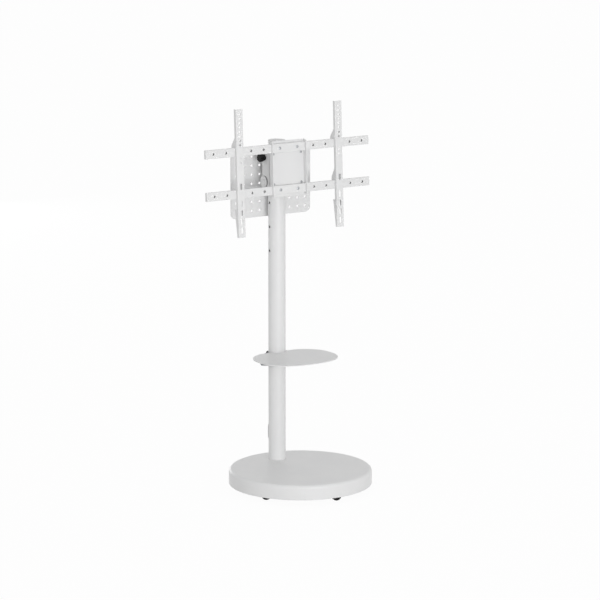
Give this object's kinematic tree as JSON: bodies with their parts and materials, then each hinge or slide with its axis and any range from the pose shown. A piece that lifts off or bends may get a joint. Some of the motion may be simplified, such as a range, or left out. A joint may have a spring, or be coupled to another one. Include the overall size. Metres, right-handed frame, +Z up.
{
  "type": "mobile screen stand",
  "caption": "Floor stand on hidden casters: round drum base, upright pole, small oval shelf and a height and tilt adjustable screen mount with hook-on arms.",
  "frame": {"origin": "on the floor at the centre of the round base", "axes": "+Z up, -Y the way the screen faces, +X to the right of a person who looks at the screen"},
  "size_m": [0.66, 0.496, 1.3282],
  "materials": {
    "white_paint": "satin white powder coat",
    "inner_steel": "plain grey primer",
    "zinc_steel": "dull zinc plate",
    "black_plastic": "fine matte texture",
    "black_tyre": "smooth nylon wheel",
    "white_plastic": "satin moulded"
  },
  "bodies": {
    "stand": {"base_shell": "white_paint", "base_plate": "inner_steel", "pole_foot": "inner_steel", "foot_bolt_1": "zinc_steel", "foot_bolt_2": "zinc_steel", "foot_bolt_3": "zinc_steel", "foot_bolt_4": "zinc_steel", "caster_1_stem": "zinc_steel", "caster_2_stem": "zinc_steel", "caster_3_stem": "zinc_steel", "caster_4_stem": "zinc_steel", "caster_5_stem": "zinc_steel", "pole_tube": "white_paint", "pole_cap": "white_plastic", "cable_grommet": "white_plastic"},
    "caster_1_fork": {"caster_1_hood": "black_plastic"},
    "caster_1_pair": {"caster_1_wheels": "black_tyre"},
    "caster_2_fork": {"caster_2_hood": "black_plastic"},
    "caster_2_pair": {"caster_2_wheels": "black_tyre"},
    "caster_3_fork": {"caster_3_hood": "black_plastic"},
    "caster_3_pair": {"caster_3_wheels": "black_tyre"},
    "caster_4_fork": {"caster_4_hood": "black_plastic"},
    "caster_4_pair": {"caster_4_wheels": "black_tyre"},
    "caster_5_fork": {"caster_5_hood": "black_plastic"},
    "caster_5_pair": {"caster_5_wheels": "black_tyre"},
    "shelf": {"shelf_plate": "white_paint", "shelf_bracket": "inner_steel", "shelf_screw_1": "zinc_steel", "shelf_screw_2": "zinc_steel"},
    "shelf_knob": {"shelf_lock_knob": "black_plastic"},
    "carriage": {"carriage_sleeve": "white_paint", "height_lock_screw": "zinc_steel", "player_plate": "white_paint", "player_bolt_1": "zinc_steel", "player_bolt_2": "zinc_steel", "tilt_pivot_right": "white_paint", "tilt_pivot_left": "white_paint", "friction_disc_right": "black_plastic", "friction_disc_left": "black_plastic", "clamp_stud_left": "zinc_steel", "clamp_bolt_right": "zinc_steel"},
    "tilt_knob": {"clamp_knob_left": "black_plastic"},
    "head": {"head_frame": "white_paint", "tilt_ear_right": "white_paint", "tilt_ear_left": "white_paint", "ear_bolt_right_1": "zinc_steel", "ear_bolt_left_1": "zinc_steel", "ear_bolt_right_2": "zinc_steel", "ear_bolt_left_2": "zinc_steel", "rail_upper": "white_paint", "rail_lower": "white_paint", "rail_screw_1": "zinc_steel", "rail_screw_2": "zinc_steel", "rail_screw_3": "zinc_steel", "rail_screw_4": "zinc_steel"},
    "left_arm": {"arm_left": "white_paint", "arm_lock_screw_left": "zinc_steel"},
    "right_arm": {"arm_right": "white_paint", "arm_lock_screw_right": "zinc_steel"}
  },
  "joints": [
    {"name": "mount_height", "type": "slide", "parent": "stand", "child": "carriage", "axis": [0, 0, 1], "range_m": [-0.252, 0]},
    {"name": "shelf_height", "type": "slide", "parent": "stand", "child": "shelf", "axis": [0, 0, 1], "range_m": [-0.15, 0.15]},
    {"name": "screen_tilt", "type": "hinge", "parent": "carriage", "child": "head", "pos_m": [0, 0.15, 1.058], "axis": [1, 0, 0], "range_deg": [-2.5, 12.5]},
    {"name": "left_arm_slide", "type": "slide", "parent": "head", "child": "left_arm", "axis": [1, 0, 0], "range_m": [-0.1, 0.1]},
    {"name": "right_arm_slide", "type": "slide", "parent": "head", "child": "right_arm", "axis": [1, 0, 0], "range_m": [-0.1, 0.1]},
    {"name": "tilt_knob_turn", "type": "hinge", "parent": "carriage", "child": "tilt_knob", "pos_m": [-0.06, 0.15, 1.142], "axis": [-1, 0, 0], "range_deg": [0, 360]},
    {"name": "shelf_knob_turn", "type": "hinge", "parent": "shelf", "child": "shelf_knob", "pos_m": [0, 0.2, 0.4349], "axis": [0, 1, 0], "range_deg": [0, 360]},
    {"name": "caster_1_swivel", "type": "hinge", "parent": "stand", "child": "caster_1_fork", "pos_m": [0, -0.20297, 0.0398], "axis": [0, 0, 1], "continuous": true},
    {"name": "caster_1_roll", "type": "hinge", "parent": "caster_1_fork", "child": "caster_1_pair", "pos_m": [0.01174, -0.20547, 0.017], "axis": [0.2079, 0.9781, 0], "continuous": true},
    {"name": "caster_2_swivel", "type": "hinge", "parent": "stand", "child": "caster_2_fork", "pos_m": [0.19304, -0.06272, 0.0398], "axis": [0, 0, 1], "continuous": true},
    {"name": "caster_2_roll", "type": "hinge", "parent": "caster_2_fork", "child": "caster_2_pair", "pos_m": [0.20223, -0.05501, 0.017], "axis": [-0.6428, 0.766, 0], "continuous": true},
    {"name": "caster_3_swivel", "type": "hinge", "parent": "stand", "child": "caster_3_fork", "pos_m": [0.1193, 0.16421, 0.0398], "axis": [0, 0, 1], "continuous": true},
    {"name": "caster_3_roll", "type": "hinge", "parent": "caster_3_fork", "child": "caster_3_pair", "pos_m": [0.10843, 0.16928, 0.017], "axis": [-0.4226, -0.9063, 0], "continuous": true},
    {"name": "caster_4_swivel", "type": "hinge", "parent": "stand", "child": "caster_4_fork", "pos_m": [-0.1193, 0.16421, 0.0398], "axis": [0, 0, 1], "continuous": true},
    {"name": "caster_4_roll", "type": "hinge", "parent": "caster_4_fork", "child": "caster_4_pair", "pos_m": [-0.12341, 0.15293, 0.017], "axis": [0.9397, -0.342, 0], "continuous": true},
    {"name": "caster_5_swivel", "type": "hinge", "parent": "stand", "child": "caster_5_fork", "pos_m": [-0.19304, -0.06272, 0.0398], "axis": [0, 0, 1], "continuous": true},
    {"name": "caster_5_roll", "type": "hinge", "parent": "caster_5_fork", "child": "caster_5_pair", "pos_m": [-0.18297, -0.06926, 0.017], "axis": [0.5446, 0.8387, 0], "continuous": true}
  ]
}
